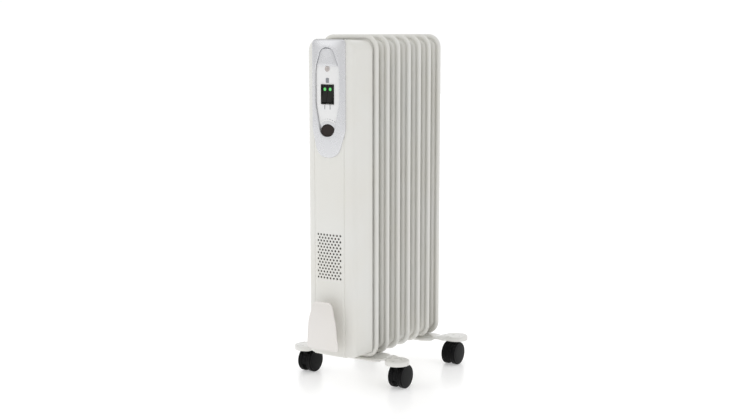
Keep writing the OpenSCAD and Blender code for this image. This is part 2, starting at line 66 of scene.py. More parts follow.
bl_info = {
    "name": "Oil Filled Radiator Heater",
    "version": (1, 0, 0),
    "blender": (4, 5, 0),
    "location": "View3D > Sidebar > Heater",
    "description": "Builds the finished surfaces of an oil filled radiator heater round its CAD frame",
    "category": "Add Mesh",
}

CORNERS = ("fl", "fr", "rl", "rr")
FIN_COUNT = 7


def middle(node):
    """Middle of a CAD node's box."""
    low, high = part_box(node)
    return (low + high) / 2


def size(node):
    """Extent of a CAD node's box."""
    low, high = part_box(node)
    return high - low


# ---------------------------------------------------------------- settings


class HeaterFinSettings(bpy.types.PropertyGroup):
    """Pressing of one fin."""

    rim_bead: bpy.props.FloatProperty(
        name="Rim bead", unit="LENGTH", default=0.0045,
        description="Radius of the round bead along a fin's edge",
    )
    ridge: bpy.props.FloatProperty(
        name="Ridge", description="Radius of the oil channel inside the rim", default=0.006, unit="LENGTH"
    )
    ridge_inset: bpy.props.FloatProperty(
        name="Ridge inset", unit="LENGTH", default=0.015,
        description="Distance of the ridge from the fin's edge",
    )
    pad: bpy.props.FloatProperty(
        name="Pad", description="Thickness of the flat oil pad", default=0.0064, unit="LENGTH"
    )
    web: bpy.props.FloatProperty(
        name="Web", description="Thickness of the welded groove", default=0.003, unit="LENGTH"
    )
    corner: bpy.props.FloatProperty(
        name="Corner", description="Corner radius of a fin", default=0.026, unit="LENGTH"
    )
    header: bpy.props.FloatProperty(
        name="Header", description="Radius of the header tubes", default=0.019, unit="LENGTH"
    )


class HeaterHousingSettings(bpy.types.PropertyGroup):
    """Shell of the control housing."""

    wall: bpy.props.FloatProperty(
        name="Wall", description="Sheet thickness of the shell", default=0.0022, unit="LENGTH"
    )
    groove: bpy.props.FloatProperty(
        name="Groove", description="Half width of the front panel", default=0.032, unit="LENGTH"
    )
    crown: bpy.props.FloatProperty(
        name="Crown", description="Rise of the front panel's crown", default=0.003, unit="LENGTH"
    )
    shoulder: bpy.props.FloatProperty(
        name="Shoulder", description="Radius of the vertical shoulders", default=0.011, unit="LENGTH"
    )
    top_corner: bpy.props.FloatProperty(
        name="Top corner", description="Radius of the top corners", default=0.02, unit="LENGTH"
    )
    soft_edge: bpy.props.FloatProperty(
        name="Soft edge", description="Rounding of the top edge", default=0.006, unit="LENGTH"
    )
    vent_radius: bpy.props.FloatProperty(
        name="Vent hole", description="Radius of one vent hole", default=0.00205, unit="LENGTH"
    )


class HeaterTrimSettings(bpy.types.PropertyGroup):
    """Silver trim and control panel."""

    bezel_rise: bpy.props.FloatProperty(
        name="Bezel rise", unit="LENGTH", default=0.0046,
        description="Height of the bezel's inner lip over the panel",
    )
    plate_rise: bpy.props.FloatProperty(
        name="Plate rise", description="Thickness of the oval plate", default=0.0012, unit="LENGTH"
    )
    cap_rise: bpy.props.FloatProperty(
        name="Cap rise", description="Height of the domed cap over the panel", default=0.0052, unit="LENGTH"
    )
    winder: bpy.props.FloatProperty(
        name="Winder plate", description="Thickness of the cord winder plate", default=0.0028, unit="LENGTH"
    )


class HeaterColours(bpy.types.PropertyGroup):
    """Main colours."""

    enamel: bpy.props.FloatVectorProperty(
        name="Enamel", description="Powder coat of the fins", subtype="COLOR", size=3,
        default=BASE["fin_enamel"], min=0, max=1,
    )
    housing: bpy.props.FloatVectorProperty(
        name="Housing", description="Powder coat of the housing", subtype="COLOR", size=3,
        default=BASE["cover_enamel"], min=0, max=1,
    )
    silver: bpy.props.FloatVectorProperty(
        name="Silver", description="Pearlescent silver of the trim", subtype="COLOR", size=3,
        default=BASE["silver_trim"], min=0, max=1,
    )
    lens: bpy.props.FloatVectorProperty(
        name="Switch lens", description="Green of the rocker lenses", subtype="COLOR", size=3,
        default=BASE["green_lens"], min=0, max=1,
    )


def settings():
    """The scene's own settings."""
    scene = bpy.context.scene
    return scene.heater_fins, scene.heater_housing, scene.heater_trim, scene.heater_colours


# ---------------------------------------------------------------- materials

PREFIX = "heater_"   # the frame already holds plain materials under the slots' own names


def node(tree, kind, **values):
    """A new shader node with its inputs set by name."""
    made = tree.nodes.new(kind)
    for name, value in values.items():
        made.inputs[name.replace("_", " ")].default_value = value
    return made


def clouds(tree, scale, low, high, detail=3.0):
    """Noise on Object coordinates, mapped from low to high."""
    place = tree.nodes.new("ShaderNodeTexCoord")
    noise = node(tree, "ShaderNodeTexNoise", Scale=scale, Detail=detail)
    spread = node(tree, "ShaderNodeMapRange", From_Min=0.3, From_Max=0.7, To_Min=low, To_Max=high)
    tree.links.new(place.outputs["Object"], noise.inputs["Vector"])
    tree.links.new(noise.outputs["Fac"], spread.inputs["Value"])
    return spread.outputs["Result"]


def surface(name, colour, shade, rough, grain, depth, **sockets):
    """A finish: colour drifting to a shade, roughness between two values, and a fine bumpy grain."""
    made = bpy.data.materials.new(PREFIX + name)
    made.use_nodes = True
    tree = made.node_tree
    shader = tree.nodes["Principled BSDF"]
    drift = tree.nodes.new("ShaderNodeMix")
    drift.data_type = "RGBA"
    drift.inputs["A"].default_value = (*colour, 1)
    drift.inputs["B"].default_value = (*[c * s for c, s in zip(colour, shade)], 1)
    tree.links.new(clouds(tree, 9.0, 0.0, 1.0), drift.inputs["Factor"])
    tree.links.new(drift.outputs["Result"], shader.inputs["Base Color"])
    tree.links.new(clouds(tree, 60.0, *rough), shader.inputs["Roughness"])
    bump = node(tree, "ShaderNodeBump", Distance=depth, Strength=0.5)
    tree.links.new(clouds(tree, grain, 0.0, 1.0, 2.0), bump.inputs["Height"])
    tree.links.new(bump.outputs["Normal"], shader.inputs["Normal"])
    for socket, value in sockets.items():
        shader.inputs[socket.replace("_", " ")].default_value = value
    return made


def drawn(made, direction, scale, depth):
    """Adds fine lines along an axis, as drawing, turning or knurling leaves them."""
    tree = made.node_tree
    place = tree.nodes.new("ShaderNodeTexCoord")
    wave = tree.nodes.new("ShaderNodeTexWave")
    wave.bands_direction = direction
    wave.inputs["Scale"].default_value = scale
    wave.inputs["Distortion"].default_value = 2.0
    old = next(n for n in tree.nodes if n.type == "BUMP")
    bump = node(tree, "ShaderNodeBump", Distance=depth, Strength=0.4)
    tree.links.new(place.outputs["Object"], wave.inputs["Vector"])
    tree.links.new(wave.outputs["Fac"], bump.inputs["Height"])
    tree.links.new(bump.outputs["Normal"], old.inputs["Normal"])
    return made


EVEN = (0.96, 0.96, 0.96)
WARM = (0.98, 0.965, 0.94)
COOL = (0.94, 0.95, 0.97)


PRINT_COLOUR = (0.27, 0.28, 0.3)
CASTER_SHADE = 0.35    # how much darker the casters are than their base colour
LENS_GLOW = 0.28

# Each slot's drift shade, roughness range, grain scale, grain depth and other sockets
FINISHES = {
    "fin_enamel": (WARM, (0.33, 0.42), 900, 4e-5, {"Coat_Weight": 0.25}),
    "cover_enamel": (WARM, (0.34, 0.42), 1100, 3e-5, {"Coat_Weight": 0.25}),
    "foot_white": (WARM, (0.25, 0.33), 700, 4e-5, {"Coat_Weight": 0.4}),
    "silver_trim": (COOL, (0.24, 0.32), 2600, 1e-5, {"Metallic": 0.75, "Coat_Weight": 0.2}),
    "pearl_plastic": (WARM, (0.28, 0.36), 2400, 1e-5, {"Metallic": 0.3, "Coat_Weight": 0.3}),
    "white_panel": (EVEN, (0.2, 0.28), 1500, 1e-5, {"Coat_Weight": 0.4}),
    "clear_lens": (WARM, (0.05, 0.1), 500, 1e-5, {"Transmission_Weight": 0.55, "IOR": 1.49}),
    "green_lens": (
        (0.8, 0.92, 0.8), (0.12, 0.2), 900, 1e-5, {"Coat_Weight": 0.8, "Emission_Strength": LENS_GLOW}
    ),
    "black_gloss": ((1.5, 1.5, 1.3), (0.3, 0.4), 1500, 2e-5, {"Specular_IOR_Level": 0.12}),
    "dial_black": ((1.3, 1.2, 1.2), (0.5, 0.62), 1800, 4e-5, {"Specular_IOR_Level": 0.08}),
    "caster_black": ((1.4, 1.4, 1.4), (0.32, 0.42), 1300, 2e-5, {"Specular_IOR_Level": 0.09}),
    "bakelite": ((0.8, 0.8, 0.8), (0.45, 0.6), 1200, 5e-5, {}),
    "ceramic": (WARM, (0.3, 0.45), 1600, 3e-5, {"Coat_Weight": 0.5}),
    "wire_red": ((0.85, 0.8, 0.8), (0.45, 0.55), 2000, 2e-5, {}),
    "gasket_rubber": ((1.2, 1.2, 1.2), (0.75, 0.9), 1500, 8e-5, {}),
    "brass_fitting": ((0.9, 0.86, 0.8), (0.25, 0.38), 1500, 1e-5, {"Metallic": 1.0}),
    "element_steel": ((0.8, 0.8, 0.84), (0.3, 0.45), 900, 1e-5, {"Metallic": 1.0}),
    "galvanised": ((0.84, 0.86, 0.88), (0.3, 0.5), 260, 2e-5, {"Metallic": 1.0}),
    "zinc_hardware": ((0.92, 0.92, 0.86), (0.28, 0.42), 1100, 2e-5, {"Metallic": 1.0}),
    "print_grey": ((0.9, 0.9, 0.9), (0.4, 0.5), 2500, 5e-6, {}),
}


def finishes():
    """Makes every finish of the heater, one for each material slot and one for the print."""
    colours = bpy.context.scene.heater_colours
    chosen = {
        **BASE, "fin_enamel": colours.enamel, "cover_enamel": colours.housing, "silver_trim": colours.silver,
        "green_lens": colours.lens, "print_grey": PRINT_COLOUR,
        "caster_black": [c * CASTER_SHADE for c in BASE["caster_black"]],
    }
    for slot, (shade, rough, grain, depth, sockets) in FINISHES.items():
        surface(slot, chosen[slot], shade, rough, grain, depth, **sockets)
    lens = finish("green_lens").node_tree.nodes["Principled BSDF"]
    lens.inputs["Emission Color"].default_value = (*colours.lens, 1)
    drawn(finish("brass_fitting"), "Y", 700, 2e-5)
    drawn(finish("element_steel"), "Z", 500, 2e-5)


def finish(name):
    """The finish for a material slot, from the ones already made."""
    return bpy.data.materials[PREFIX + name]


# ---------------------------------------------------------------- mesh helpers


def rounded(points, radii, steps=8):
    """Closed 2D outline whose corners are turned into evenly stepped arcs. A radius of 0 keeps the point."""
    out = []
    for i, (corner, radius) in enumerate(zip(points, radii)):
        corner = Vector(corner)
        if radius == 0:
            out.append(corner)
            continue
        before = (Vector(points[i - 1]) - corner).normalized()
        after = (Vector(points[(i + 1) % len(points)]) - corner).normalized()
        half = before.angle(after) / 2
        centre = corner + (before + after).normalized() * (radius / math.sin(half))
        start = corner + before * (radius / math.tan(half)) - centre
        end = corner + after * (radius / math.tan(half)) - centre
        sweep = math.atan2(start.x * end.y - start.y * end.x, start.dot(end))
        for k in range(steps + 1):
            turn = sweep * k / steps
            out.append(centre + Vector((
                start.x * math.cos(turn) - start.y * math.sin(turn),
                start.x * math.sin(turn) + start.y * math.cos(turn),
            )))
    return out


def twin(half, radii, steps=8):
    """Outline given by its right half from bottom to top, starting at the bottom middle."""
    points = [(0, half[0][1]), *half, *[(-x, y) for x, y in reversed(half)]]
    return rounded(points, [0, *radii, *reversed(radii)], steps)


def evenly(outline, count):
    """The closed outline again, as evenly spaced points from its first one."""
    ends = [*outline[1:], outline[0]]
    lengths = [(b - a).length for a, b in zip(outline, ends)]
    step = sum(lengths) / count
    out, run, i = [], 0.0, 0
    for k in range(count):
        while run + lengths[i] < k * step - 1e-12:
            run += lengths[i]
            i += 1
        share = (k * step - run) / lengths[i] if lengths[i] else 0
        out.append(outline[i].lerp(ends[i], share))
    return out


def shrunk(outline, inset):
    """The outline moved inwards, for one that runs anticlockwise."""
    out = []
    count = len(outline)
    for i, point in enumerate(outline):
        along = (outline[(i + 1) % count] - outline[i - 1]).normalized()
        out.append(point + Vector((-along.y, along.x)) * inset)
    return out


def half_width(outline, level):
    """Half width of a symmetrical outline at a height."""
    reach = 0.0
    for a, b in zip(outline, [*outline[1:], outline[0]]):
        if (a.y - level) * (b.y - level) <= 0 and a.y != b.y:
            reach = max(reach, a.lerp(b, (level - a.y) / (b.y - a.y)).x)
    return reach


def loft(rings, around=True, along=False):
    """Faces between neighbouring rings. around closes each ring, and along joins the last ring to the first."""
    count = len(rings[0])
    verts = [point for ring in rings for point in ring]
    faces = []
    for j in range(len(rings) if along else len(rings) - 1):
        here, there = j * count, (j + 1) % len(rings) * count
        for i in range(count if around else count - 1):
            nxt = (i + 1) % count
            faces.append((here + i, here + nxt, there + nxt, there + i))
    return verts, faces


def capped(rings):
    """A loft with a flat face on each end."""
    verts, faces = loft(rings)
    count = len(rings[0])
    faces += [tuple(range(count)), tuple(range(len(verts) - count, len(verts)))]
    return verts, faces


def joined(*shapes):
    """Several shapes as one."""
    verts, faces = [], []
    for more_verts, more_faces in shapes:
        base = len(verts)
        verts += more_verts
        faces += [tuple(base + i for i in face) for face in more_faces]
    return verts, faces


def turned(profile, place, axis="Y", steps=56, hollow=False):
    """Solid of revolution. The profile is (distance along the axis, radius) from end to end."""
    rings = []
    for reach, radius in profile:
        ring = []
        for k in range(steps):
            angle = 2 * math.pi * k / steps
            u, v = radius * math.cos(angle), radius * math.sin(angle)
            point = {"X": (reach, u, v), "Y": (u, reach, v), "Z": (u, v, reach)}[axis]
            ring.append(Vector(place) + Vector(point))
        rings.append(ring)
    return loft(rings, along=True) if hollow else capped(rings)


def arc(centre, radius, start, end, steps):
    """Points of a 2D arc, its angles in degrees."""
    angles = [math.radians(start + (end - start) * k / steps) for k in range(steps + 1)]
    return [(centre[0] + radius * math.cos(a), centre[1] + radius * math.sin(a)) for a in angles]


def slab(outline, low, high, soft, place):
    """Plate with an outline, rounded along both faces. place turns (u, v, depth) into a point."""
    rings = []
    lower, upper = arc((soft, low + soft), soft, 180, 270, 4), arc((soft, high - soft), soft, 180, 90, 4)
    for inset, depth in lower[::-1] + upper:
        rings.append([place(p.x, p.y, depth) for p in shrunk(outline, inset)])
    return capped(rings)


def set_mesh(obj, angle):
    """Merges doubles, turns the faces outwards and smooths the mesh up to an angle."""
    work = bmesh.new()
    work.from_mesh(obj.data)
    bmesh.ops.remove_doubles(work, verts=work.verts, dist=1e-6)
    bmesh.ops.recalc_face_normals(work, faces=work.faces)
    work.to_mesh(obj.data)
    work.free()
    smooth(obj, angle)


def smooth(obj, angle):
    """Smooth shading with sharp edges above an angle."""
    obj.data.polygons.foreach_set("use_smooth", [True] * len(obj.data.polygons))
    obj.data.set_sharp_from_angle(angle=math.radians(angle))


def new_object(name, shape=((), ())):
    """A linked mesh object from points and faces."""
    mesh = bpy.data.meshes.new(name)
    mesh.from_pydata([tuple(point) for point in shape[0]], [], shape[1])
    obj = bpy.data.objects.new(name, mesh)
    bpy.context.scene.collection.objects.link(obj)
    return obj


def solid(name, shape, angle=35):
    """An object with a clean, outward mesh."""
    obj = new_object(name, shape)
    set_mesh(obj, angle)
    return obj


def dress(obj, slot, body, *nodes):
    """Gives a piece its finish, its body and the CAD nodes that it stands for."""
    obj.data.materials.clear()
    obj.data.materials.append(finish(slot))
    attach(obj, body)
    if nodes:
        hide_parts(*nodes)
    return obj


def flattened(obj, *helpers):
    """Applies a piece's modifiers and removes the objects that they used."""
    graph = bpy.context.evaluated_depsgraph_get()
    mesh = bpy.data.meshes.new_from_object(obj.evaluated_get(graph))
    obj.modifiers.clear()
    obj.data = mesh
    for helper in helpers:
        bpy.data.objects.remove(helper)
    return obj


def softened(node_name, name, width, angle=30, segments=2):
    """A copy of a CAD node with its sharp edges rounded."""
    obj = new_object(name)
    obj.data = frame["nodes"][node_name].data.copy()
    work = bmesh.new()
    work.from_mesh(obj.data)
    bmesh.ops.remove_doubles(work, verts=work.verts, dist=2e-6)
    bmesh.ops.dissolve_limit(work, angle_limit=math.radians(1), verts=work.verts, edges=work.edges)
    work.to_mesh(obj.data)
    work.free()
    bevel = obj.modifiers.new("Soft edges", "BEVEL")
    bevel.width, bevel.segments, bevel.limit_method = width, segments, "ANGLE"
    bevel.angle_limit = math.radians(angle)
    flattened(obj)
    smooth(obj, 40)
    return obj


# ---------------------------------------------------------------- geometry nodes


def new_tree(name, **inputs):
    """An empty node tree with a geometry output and named inputs."""
    tree = bpy.data.node_groups.new(name, "GeometryNodeTree")
    tree.is_modifier = True
    tree.interface.new_socket("Geometry", in_out="OUTPUT", socket_type="NodeSocketGeometry")
    tree.interface.new_socket("Geometry", in_out="INPUT", socket_type="NodeSocketGeometry")
    for label, kind in inputs.items():
        tree.interface.new_socket(label, in_out="INPUT", socket_type="NodeSocket" + kind)
    return tree, tree.nodes.new("NodeGroupInput"), tree.nodes.new("NodeGroupOutput")


def wire(tree, *links):
    """Links pairs of sockets."""
    for source, target in links:
        tree.links.new(source, target)


def instanced(tree, given, points, out, rotation=None, scale=None):
    """Ends a tree: the part on every point, made real, with its material."""
    part = tree.nodes.new("GeometryNodeObjectInfo")
    copies = tree.nodes.new("GeometryNodeInstanceOnPoints")
    real = tree.nodes.new("GeometryNodeRealizeInstances")
    paint = tree.nodes.new("GeometryNodeSetMaterial")
    wire(
        tree,
        (given.outputs["Part"], part.inputs["Object"]),
        (points, copies.inputs["Points"]),
        (part.outputs["Geometry"], copies.inputs["Instance"]),
        (copies.outputs["Instances"], real.inputs["Geometry"]),
        (real.outputs["Geometry"], paint.inputs["Geometry"]),
        (given.outputs["Material"], paint.inputs["Material"]),
        (paint.outputs["Geometry"], out.inputs["Geometry"]),
    )
    if rotation:
        tree.links.new(rotation, copies.inputs["Rotation"])
    if scale:
        tree.links.new(scale, copies.inputs["Scale"])
    return tree


def row_tree():
    """A part repeated along a straight row."""
    tree, given, out = new_tree("Row", Part="Object", Material="Material", Count="Int", Start="Vector", Step="Vector")
    line = tree.nodes.new("GeometryNodeMeshLine")
    wire(
        tree,
        (given.outputs["Count"], line.inputs["Count"]),
        (given.outputs["Start"], line.inputs["Start Location"]),
        (given.outputs["Step"], line.inputs["Offset"]),
    )
    return instanced(tree, given, line.outputs["Mesh"], out)


def staggered_tree():
    """A part on a staggered field: one grid of points, and a smaller one between its points."""
    tree, given, out = new_tree(
        "Staggered field", Part="Object", Material="Material", Columns="Int", Rows="Int",
        Across="Float", Up="Float", Centre="Vector",
    )
    both = tree.nodes.new("GeometryNodeJoinGeometry")
    for less in (0, 1):
        grid = tree.nodes.new("GeometryNodeMeshGrid")
        for label, pace, across in (("Columns", "Across", "X"), ("Rows", "Up", "Y")):
            count = tree.nodes.new("ShaderNodeMath")
            count.operation, count.inputs[1].default_value = "SUBTRACT", less
            gaps = tree.nodes.new("ShaderNodeMath")
            gaps.operation, gaps.inputs[1].default_value = "SUBTRACT", less + 1
            length = tree.nodes.new("ShaderNodeMath")
            length.operation = "MULTIPLY"
            wire(
                tree,
                (given.outputs[label], count.inputs[0]),
                (given.outputs[label], gaps.inputs[0]),
                (gaps.outputs[0], length.inputs[0]),
                (given.outputs[pace], length.inputs[1]),
                (count.outputs[0], grid.inputs["Vertices " + across]),
                (length.outputs[0], grid.inputs["Size " + across]),
            )
        upright = tree.nodes.new("GeometryNodeTransform")
        upright.inputs["Rotation"].default_value = (math.pi / 2, 0, 0)
        wire(
            tree,
            (grid.outputs["Mesh"], upright.inputs["Geometry"]),
            (given.outputs["Centre"], upright.inputs["Translation"]),
            (upright.outputs["Geometry"], both.inputs["Geometry"]),
        )
    return instanced(tree, given, both.outputs["Geometry"], out)


def fan_tree():
    """A part repeated on an arc about the Y axis, growing from one end to the other."""
    tree, given, out = new_tree(
        "Fan", Part="Object", Material="Material", Count="Int", Centre="Vector", Radius="Float",
        First="Float", Step="Float", Small="Float", Growth="Float",
    )
    line = tree.nodes.new("GeometryNodeMeshLine")
    index = tree.nodes.new("GeometryNodeInputIndex")
    turn, grow = (tree.nodes.new("ShaderNodeMath") for _ in range(2))
    turn.operation = grow.operation = "MULTIPLY_ADD"
    angle = tree.nodes.new("ShaderNodeCombineXYZ")
    arm = tree.nodes.new("ShaderNodeCombineXYZ")
    swing = tree.nodes.new("ShaderNodeVectorRotate")
    swing.rotation_type = "EULER_XYZ"
    shift = tree.nodes.new("ShaderNodeVectorMath")
    place = tree.nodes.new("GeometryNodeSetPosition")
    wire(
        tree,
        (given.outputs["Count"], line.inputs["Count"]),
        (index.outputs[0], turn.inputs[0]),
        (given.outputs["Step"], turn.inputs[1]),
        (given.outputs["First"], turn.inputs[2]),
        (index.outputs[0], grow.inputs[0]),
        (given.outputs["Growth"], grow.inputs[1]),
        (given.outputs["Small"], grow.inputs[2]),
        (turn.outputs[0], angle.inputs["Y"]),
        (given.outputs["Radius"], arm.inputs["Z"]),
        (arm.outputs[0], swing.inputs["Vector"]),
        (angle.outputs[0], swing.inputs["Rotation"]),
        (swing.outputs[0], shift.inputs[0]),
        (given.outputs["Centre"], shift.inputs[1]),
        (line.outputs["Mesh"], place.inputs["Geometry"]),
        (shift.outputs[0], place.inputs["Position"]),
    )
    return instanced(tree, given, place.outputs["Geometry"], out, angle.outputs[0], grow.outputs[0])


def grown(name, tree, **values):
    """A plain mesh object from a node tree, with its inputs set by name."""
    host = new_object(name)
    modifier = host.modifiers.new("Rule", "NODES")
    modifier.node_group = tree
    for item in tree.interface.items_tree:
        if item.in_out == "INPUT" and item.name in values:
            modifier[item.identifier] = values[item.name]
    return flattened(host)


# ---------------------------------------------------------------- radiator

FIN_ROUND = 12
HEADER_INSET = 0.045
CAP_THICKNESS = 0.0014
WELD_RISE = 0.0007
FLARE = 0.0028
PITCH = middle("fin_4").y - middle("fin_3").y
FIRST_FIN = middle("fin_4").y - 3 * PITCH
FIN_LOW, FIN_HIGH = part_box("fin_4")


def blend_up(levels, softness):
    """Largest of several levels, rounded where they cross."""
    return softness * math.log(sum(math.exp(level / softness) for level in levels))


def bar(distance, centre, radius):
    """Height of a round bar's surface at a distance across it."""
    return math.sqrt(max(radius**2 - (distance - centre) ** 2, 0))


def fin_profile(fins):
    """Half section of a pressed fin: (distance from the edge, height over the weld plane)."""
    bead, ridge, inset = fins.rim_bead, fins.ridge, fins.ridge_inset
    points = [(bead - u, v) for u, v in arc((0, 0), bead, 0, 115, 9)]
    across = points[-1][0] + 0.0005
    while across < inset + ridge:
        rise = min(max((across - inset) / ridge, 0), 1)
        levels = (fins.web / 2, bar(across, bead, bead), bar(across, inset, ridge), rise * fins.pad / 2)
        points.append((across, blend_up(levels, 0.00025)))
        across += 0.0006
    return [*points, (across + 0.002, fins.pad / 2)]


def fin_blank(fins):
    """One fin in the plane Y = 0."""
    wide, low, high = FIN_HIGH.x, FIN_LOW.z, FIN_HIGH.z
    half = fin_profile(fins)
    rings = []
    for inset, level in [(d, -y) for d, y in reversed(half)] + half[1:]:
        box = [(-wide + inset, low + inset), (wide - inset, low + inset),
               (wide - inset, high - inset), (-wide + inset, high - inset)]
        corner = max(fins.corner - inset, 0.008)
        rings.append([Vector((p.x, level, p.y)) for p in rounded(box, [corner] * 4, FIN_ROUND)])
    return capped(rings)


def header(fins, level, reach, joins):
    """Header tube from a fin at Y = 0 out to a signed reach, beaded in its middle where it joins another fin."""
    side = 1 if reach > 0 else -1
    tube = fins.header
    flare = [(0, tube + FLARE), *arc((fins.pad / 2 + FLARE, tube + FLARE), FLARE, 180, 270, 5)]
    profile = [(side * u, v) for u, v in flare]
    if joins:
        profile += [(reach / 2 - 0.0018 * u, tube + WELD_RISE * v) for u, v in arc((0, 0), 1, 0, 180, 8)]
        profile += [(reach - u, v) for u, v in reversed(flare)]
    else:
        profile += [(reach - side * 0.0006, tube), (reach, tube - 0.0006)]
    return turned(profile, (0, 0, level), steps=48)


def moved(shape, along):
    """A shape shifted along Y."""
    return [point + Vector((0, along, 0)) for point in shape[0]], shape[1]


def header_ends(fins, levels):
    """Header ends ahead of the first fin and behind the last."""
    last = FIRST_FIN + (FIN_COUNT - 1) * PITCH
    noses = (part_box("element_gasket")[1].y - FIRST_FIN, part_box("header_caps")[0].y + CAP_THICKNESS - FIRST_FIN)
    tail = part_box("header_caps")[1].y - CAP_THICKNESS - last
    fronts = [moved(header(fins, level, nose, False), FIRST_FIN) for level, nose in zip(levels, noses)]
    return joined(*fronts, *[moved(header(fins, level, tail, False), last) for level in levels])


# ---------------------------------------------------------------- housing

COVER_LOW, COVER_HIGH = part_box("front_cover")
PANEL_FRONT = COVER_LOW.y
SHOULDER_X = COVER_HIGH.x - 0.0029
SHOULDER_Y = PANEL_FRONT + 0.0095
HELD_X = 0.030
BOTTOM_CORNER = 0.007
BOTTOM_SOFT = 0.003
VENT_COUNT = 8
VENT_ACROSS = 0.0069
VENT_UP = 0.0112
VENT_Z = COVER_LOW.z + 0.183


def panel_y(x):
    """Y of the crowned front panel at a distance from the middle."""
    housing = bpy.context.scene.heater_housing
    radius = (housing.groove**2 + housing.crown**2) / (2 * housing.crown)
    return PANEL_FRONT + radius - math.sqrt(radius**2 - x**2)


def cover_strip(housing):
    """Plan of the shell's outer face, from its left back edge round the front to its right back edge."""
    edge = housing.groove
    crown = [Vector((edge * k / 12, panel_y(edge * k / 12))) for k in range(12)]
    lip = panel_y(edge)
    groove = [Vector((edge + dx, lip + dy)) for dx, dy in
              ((-0.0011, -0.0001), (-0.0005, 0.0004), (-0.0002, 0.0011), (0.0004, 0.0011), (0.0008, 0.0006))]
    bend = rounded(
        [(edge + 0.0015, lip + 0.0005), (SHOULDER_X, SHOULDER_Y), (COVER_HIGH.x, COVER_HIGH.y)],
        [0, housing.shoulder, 0], 12,
    )
    flank = [bend[-2].lerp(bend[-1], k / 4) for k in range(1, 4)]
    right = [*crown[1:], *groove, *bend[:-1], *flank, bend[-1]]
    return [Vector((-p.x, p.y)) for p in reversed(right)] + [crown[0]] + right


def eased(radius, depth):
    """How far a rounded edge stands back at a depth below its top."""
    return radius - math.sqrt(radius**2 - (radius - depth) ** 2) if depth < radius else 0.0


def cover_shell(housing):
    """Outer face of the housing, open at the back, with soft top and bottom edges."""
    strip = cover_strip(housing)
    inward = []
    for i in range(len(strip)):
        along = (strip[min(i + 1, len(strip) - 1)] - strip[max(i - 1, 0)]).normalized()
        inward.append(Vector((-along.y, along.x)))
    inward[0].y = inward[-1].y = 0
    low, high = COVER_LOW.z, COVER_HIGH.z
    levels = {
        low + r * (1 - math.sin(math.radians(t)))
        for r in (BOTTOM_CORNER, BOTTOM_SOFT) for t in range(0, 91, 15)
    }
    levels |= {
        high - r * (1 - math.sin(math.radians(t)))
        for r in (housing.top_corner, housing.soft_edge) for t in range(0, 91, 9)
    }
    rings = []
    for z in sorted(levels):
        upper = z > (low + high) / 2
        depth = high - z if upper else z - low
        corner = eased(housing.top_corner if upper else BOTTOM_CORNER, depth)
        soft = eased(housing.soft_edge if upper else BOTTOM_SOFT, depth)
        share = (COVER_HIGH.x - corner - HELD_X) / (COVER_HIGH.x - HELD_X)
        ring = []
        for point, way in zip(strip, inward):
            x = point.x
            if abs(x) > HELD_X:
                x = math.copysign(HELD_X + (abs(x) - HELD_X) * share, x)
            ring.append(Vector((x + way.x * soft * share, point.y + way.y * soft, z)))
        rings.append(ring)
    verts, faces = loft(rings, around=False)
    count = len(strip)
    faces += [tuple(range(count)), tuple(range(len(verts) - count, len(verts)))]
    return verts, faces


def box_cutter(centre, wide, deep, tall):
    """A plain cutting box."""
    rings = []
    for z in (-tall / 2, tall / 2):
        rings.append([Vector(centre) + Vector((x * wide / 2, y * deep / 2, z))
                      for x, y in ((-1, -1), (1, -1), (1, 1), (-1, 1))])
    return capped(rings)


def rod_cutter(place, radius, reach=0.008):
    """A round cutter through the front panel."""
    return turned([(-reach, radius), (reach, radius)], place, steps=40)


def cover_cutters():
    """Openings of the housing other than the vent: switch, dial, lamp, winder screws, gland and slots."""
    keys = ("rocker_pin", "thermostat_shaft", "lamp_holder", "cable_gland")
    switch, dial, lamp, gland = (middle(key) for key in keys)
    body = size("switch_body")
    stem = middle("winder_stem")
    floor = COVER_LOW.z
    shapes = [
        box_cutter((0, PANEL_FRONT, switch.z), body.x - 0.0016, 0.02, body.z - 0.0016),
        rod_cutter((0, PANEL_FRONT, dial.z), size("thermostat_dial").x / 2 + 0.0007),
        rod_cutter((0, PANEL_FRONT, lamp.z), 0.0033),
        turned([(-0.006, 0.007), (0.006, 0.007)], (0, gland.y, floor), "Z", 40),
    ]
    shapes += [rod_cutter((0, PANEL_FRONT, stem.z + up), 0.0018) for up in (-0.013, 0.013)]
    slots = (-0.034, -0.026, 0.026, 0.034)
    shapes += [box_cutter((x, gland.y + 0.003, floor), 0.003, 0.03, 0.012) for x in slots]
    return joined(*shapes)


# ---------------------------------------------------------------- controls

BEZEL_LOW, BEZEL_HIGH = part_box("control_bezel")
OVAL_LOW = BEZEL_LOW.z + 0.0375
CREST_LOW, OVAL_HIGH = (corner.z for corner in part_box("crest_cap"))
RIM_STEPS = 220


def bezel_outline():
    """Front outline of the silver bezel, a U with a square top."""
    half = [(0.021, BEZEL_LOW.z), (BEZEL_HIGH.x, BEZEL_LOW.z + 0.0485), (BEZEL_HIGH.x, BEZEL_HIGH.z)]
    return twin(half, [0.024, 0.06, 0.008], 14)


def oval_outline():
    """Outline of the oval panel inside the bezel."""
    half = [(0.013, OVAL_LOW), (0.0256, OVAL_LOW + 0.057), (0.0256, OVAL_LOW + 0.119), (0.012, OVAL_HIGH)]
    return twin(half, [0.014, 0.09, 0.06, 0.016], 14)


def on_panel(x, z, height):
    """A point at a height over the crowned front panel."""
    return Vector((x, panel_y(x) - height, z))


